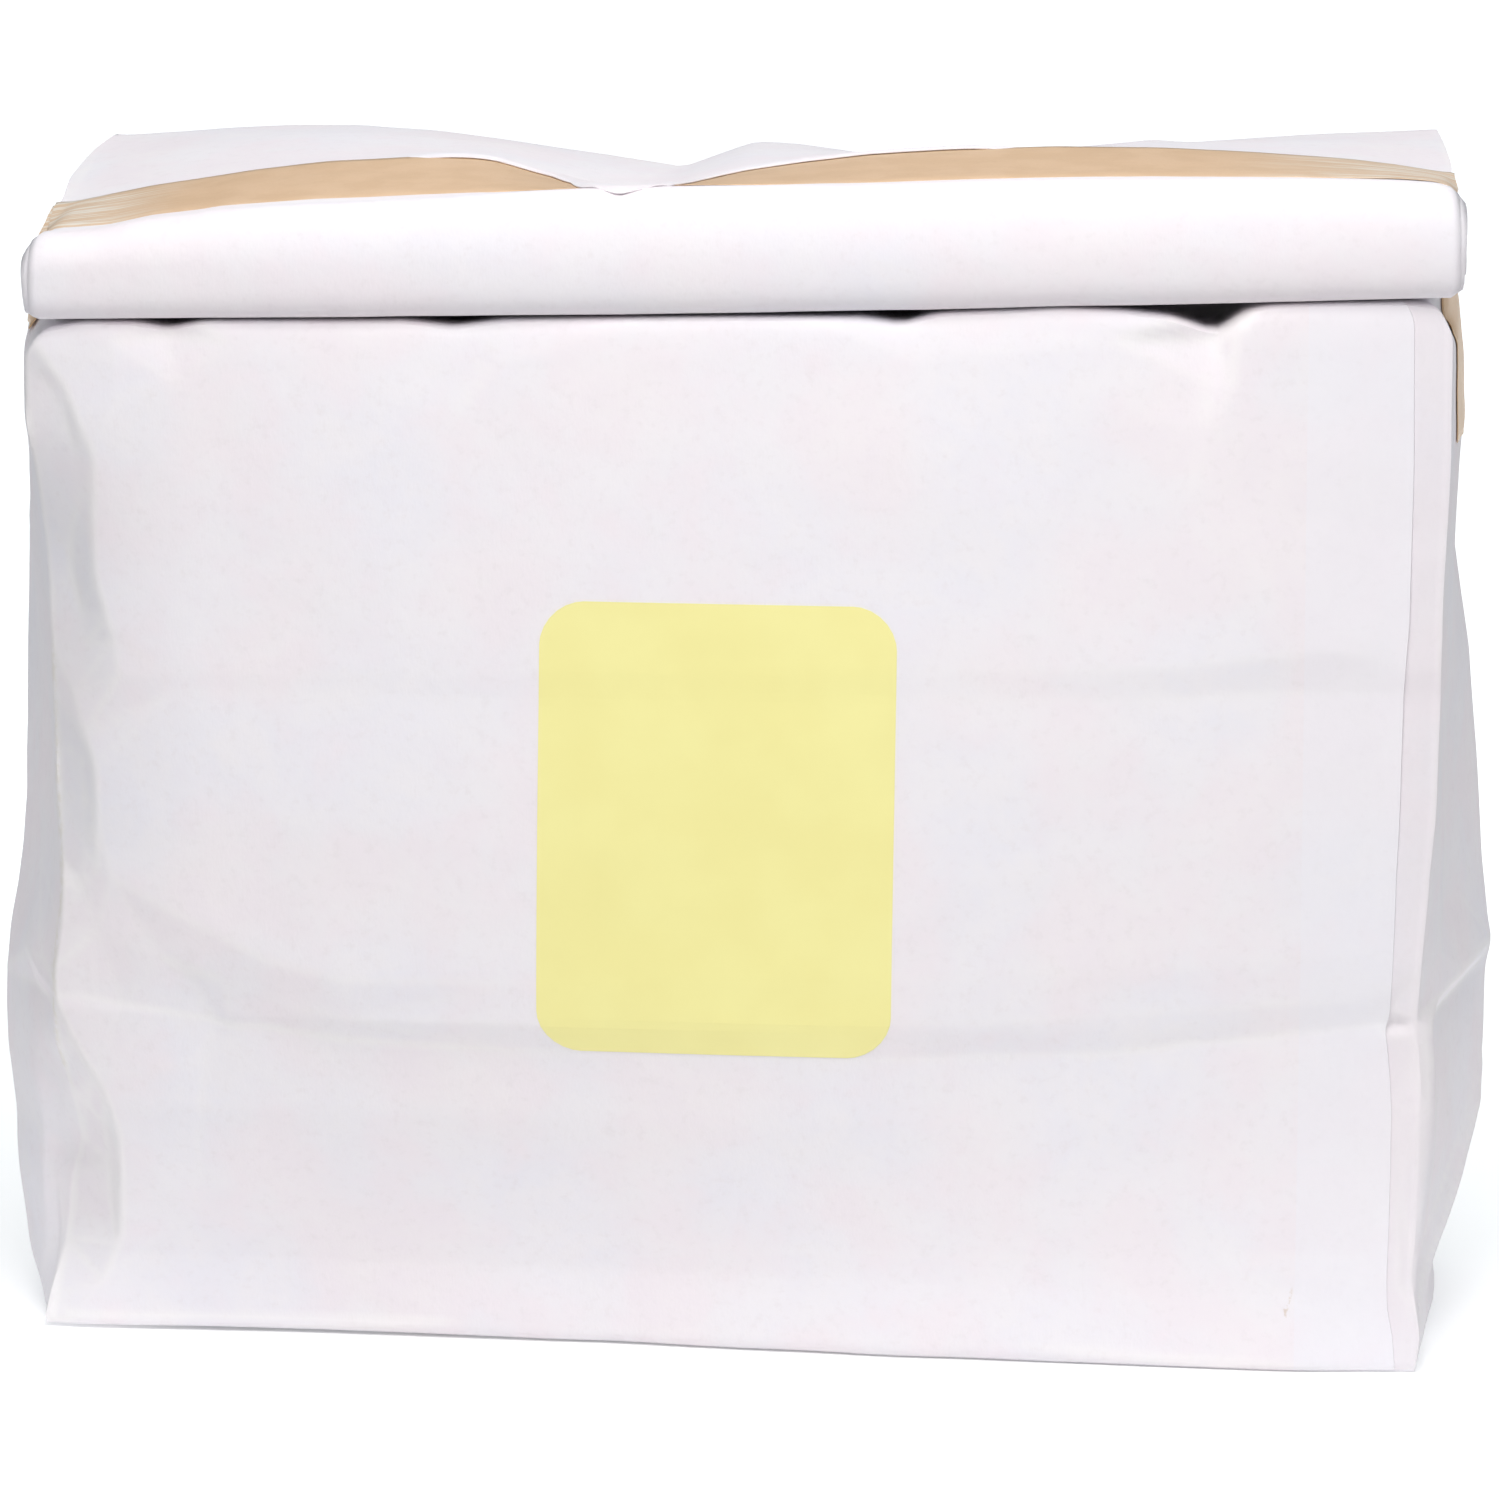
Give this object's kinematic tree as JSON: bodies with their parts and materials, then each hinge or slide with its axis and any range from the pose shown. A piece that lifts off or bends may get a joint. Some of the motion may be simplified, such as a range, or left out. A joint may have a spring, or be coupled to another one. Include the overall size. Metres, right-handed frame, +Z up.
{
  "type": "filled paper sack",
  "caption": "White kraft paper bag of powder, gusseted, standing on its block bottom, mouth rolled to the front and held with buff tape, plain yellow label.",
  "frame": {"origin": "on the floor, under the middle of the bag's box", "axes": "+X to the right along the rolled mouth, seen from the front; +Y from the labelled front wall to the back wall; +Z up"},
  "size_m": [0.3274, 0.1406, 0.2602],
  "materials": {
    "white_paper": "matt bleached kraft paper with soft creases",
    "buff_tape": "semi-gloss buff packing tape",
    "yellow_label": "smooth pale yellow self-adhesive paper, bare of print"
  },
  "bodies": {
    "root": {"paper_bag": "white_paper", "closing_tape": "buff_tape", "paper_label": "yellow_label"}
  },
  "joints": []
}
